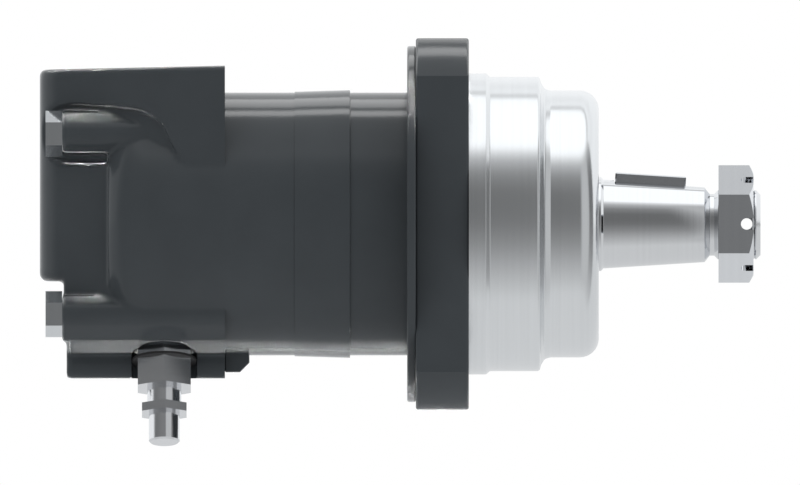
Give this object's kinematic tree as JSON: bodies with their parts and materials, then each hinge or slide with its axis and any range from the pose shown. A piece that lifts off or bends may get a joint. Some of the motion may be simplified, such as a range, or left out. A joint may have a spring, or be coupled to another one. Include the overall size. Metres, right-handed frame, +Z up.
{
  "type": "orbital hydraulic motor",
  "caption": "Low-speed hydraulic motor with disc valve, stepped nose flange, keyed taper shaft with slotted nut, top work ports and a speed sensor below.",
  "frame": {"origin": "centre of the flange's front mounting face, on the shaft axis", "axes": "+X along the shaft towards its threaded end, +Z up towards the work ports, +Y away from the pictured side"},
  "size_m": [0.2585, 0.1278, 0.1463],
  "materials": {
    "cast_paint": "dark gloss paint on cast iron",
    "screw_steel": "satin",
    "plated_steel": "bright plated",
    "black_rubber": "matte",
    "ground_steel": "ground",
    "pressed_steel": "satin",
    "valve_iron": "lapped",
    "shaft_steel": "machined",
    "key_steel": "black oxide",
    "nut_steel": "zinc plated"
  },
  "bodies": {
    "housing": {"valve_housing": "cast_paint", "valve_plate": "cast_paint", "geroler_ring": "cast_paint", "wear_plate": "cast_paint", "bearing_housing": "cast_paint", "case_bolt_1": "screw_steel", "case_bolt_2": "screw_steel", "case_bolt_3": "screw_steel", "case_bolt_4": "screw_steel", "sensor_bushing": "plated_steel", "sensor_seal_washer": "black_rubber", "sensor_gland_nut": "plated_steel", "speed_sensor": "plated_steel", "front_bearing_cup": "ground_steel", "rear_bearing_cup": "ground_steel", "bearing_spacer": "ground_steel", "backup_washer": "pressed_steel", "shaft_seal": "black_rubber", "seal_retaining_ring": "pressed_steel", "dust_seal": "black_rubber", "housing_seal_1": "black_rubber", "housing_seal_2": "black_rubber", "housing_seal_3": "black_rubber", "housing_seal_4": "black_rubber", "balance_ring": "valve_iron", "balance_ring_seal": "black_rubber", "balance_spring": "pressed_steel"},
    "shaft": {"output_shaft": "shaft_steel", "shaft_key": "key_steel", "slotted_nut": "nut_steel", "front_bearing_cone": "ground_steel", "rear_bearing_cone": "ground_steel"},
    "front_roller_set": {"front_bearing_rollers": "ground_steel", "front_bearing_cage": "pressed_steel"},
    "rear_roller_set": {"rear_bearing_rollers": "ground_steel", "rear_bearing_cage": "pressed_steel"},
    "orbit": {"drive_spacer": "ground_steel"},
    "star": {"rotor_star": "ground_steel"},
    "link": {"drive_link": "shaft_steel"},
    "valve_link": {"valve_drive": "shaft_steel"},
    "valve": {"disc_valve": "valve_iron"},
    "roller_1": {"geroler_roller_1": "ground_steel"},
    "roller_2": {"geroler_roller_2": "ground_steel"},
    "roller_3": {"geroler_roller_3": "ground_steel"},
    "roller_4": {"geroler_roller_4": "ground_steel"},
    "roller_5": {"geroler_roller_5": "ground_steel"},
    "roller_6": {"geroler_roller_6": "ground_steel"},
    "roller_7": {"geroler_roller_7": "ground_steel"}
  },
  "joints": [
    {"name": "shaft_spin", "type": "hinge", "parent": "housing", "child": "shaft", "pos_m": [0, 0, 0], "axis": [1, 0, 0], "continuous": true},
    {"name": "front_roller_set_spin", "type": "hinge", "parent": "housing", "child": "front_roller_set", "pos_m": [0.025, 0, 0], "axis": [1, 0, 0], "continuous": true},
    {"name": "rear_roller_set_spin", "type": "hinge", "parent": "housing", "child": "rear_roller_set", "pos_m": [-0.049, 0, 0], "axis": [1, 0, 0], "continuous": true},
    {"name": "orbit_spin", "type": "hinge", "parent": "housing", "child": "orbit", "pos_m": [-0.0744, 0, 0], "axis": [1, 0, 0], "continuous": true},
    {"name": "star_spin", "type": "hinge", "parent": "orbit", "child": "star", "pos_m": [-0.0721, 0, 0.002], "axis": [1, 0, 0], "continuous": true},
    {"name": "drive_link_spin", "type": "hinge", "parent": "orbit", "child": "link", "pos_m": [-0.07, 0, 0.002], "axis": [0.9987, 0, -0.0512], "continuous": true},
    {"name": "valve_drive_spin", "type": "hinge", "parent": "orbit", "child": "valve_link", "pos_m": [-0.0775, 0, 0.002], "axis": [0.9953, 0, 0.0971], "continuous": true},
    {"name": "disc_valve_spin", "type": "hinge", "parent": "housing", "child": "valve", "pos_m": [-0.1, 0, 0], "axis": [1, 0, 0], "continuous": true},
    {"name": "roller_spin_1", "type": "hinge", "parent": "housing", "child": "roller_1", "pos_m": [-0.0721, 0.02584, 0.0059], "axis": [1, 0, 0], "continuous": true},
    {"name": "roller_spin_2", "type": "hinge", "parent": "housing", "child": "roller_2", "pos_m": [-0.0721, 0.0115, 0.02388], "axis": [1, 0, 0], "continuous": true},
    {"name": "roller_spin_3", "type": "hinge", "parent": "housing", "child": "roller_3", "pos_m": [-0.0721, -0.0115, 0.02388], "axis": [1, 0, 0], "continuous": true},
    {"name": "roller_spin_4", "type": "hinge", "parent": "housing", "child": "roller_4", "pos_m": [-0.0721, -0.02584, 0.0059], "axis": [1, 0, 0], "continuous": true},
    {"name": "roller_spin_5", "type": "hinge", "parent": "housing", "child": "roller_5", "pos_m": [-0.0721, -0.02072, -0.01652], "axis": [1, 0, 0], "continuous": true},
    {"name": "roller_spin_6", "type": "hinge", "parent": "housing", "child": "roller_6", "pos_m": [-0.0721, 0, -0.0265], "axis": [1, 0, 0], "continuous": true},
    {"name": "roller_spin_7", "type": "hinge", "parent": "housing", "child": "roller_7", "pos_m": [-0.0721, 0.02072, -0.01652], "axis": [1, 0, 0], "continuous": true}
  ],
  "couplings": [
    {"joint": "front_roller_set_spin", "follows": "shaft_spin", "ratio": 0.439},
    {"joint": "rear_roller_set_spin", "follows": "shaft_spin", "ratio": 0.439},
    {"joint": "orbit_spin", "follows": "shaft_spin", "ratio": -6},
    {"joint": "star_spin", "follows": "shaft_spin", "ratio": 7},
    {"joint": "drive_link_spin", "follows": "shaft_spin", "ratio": 7},
    {"joint": "valve_drive_spin", "follows": "shaft_spin", "ratio": 7},
    {"joint": "disc_valve_spin", "follows": "shaft_spin", "ratio": 1}
  ]
}
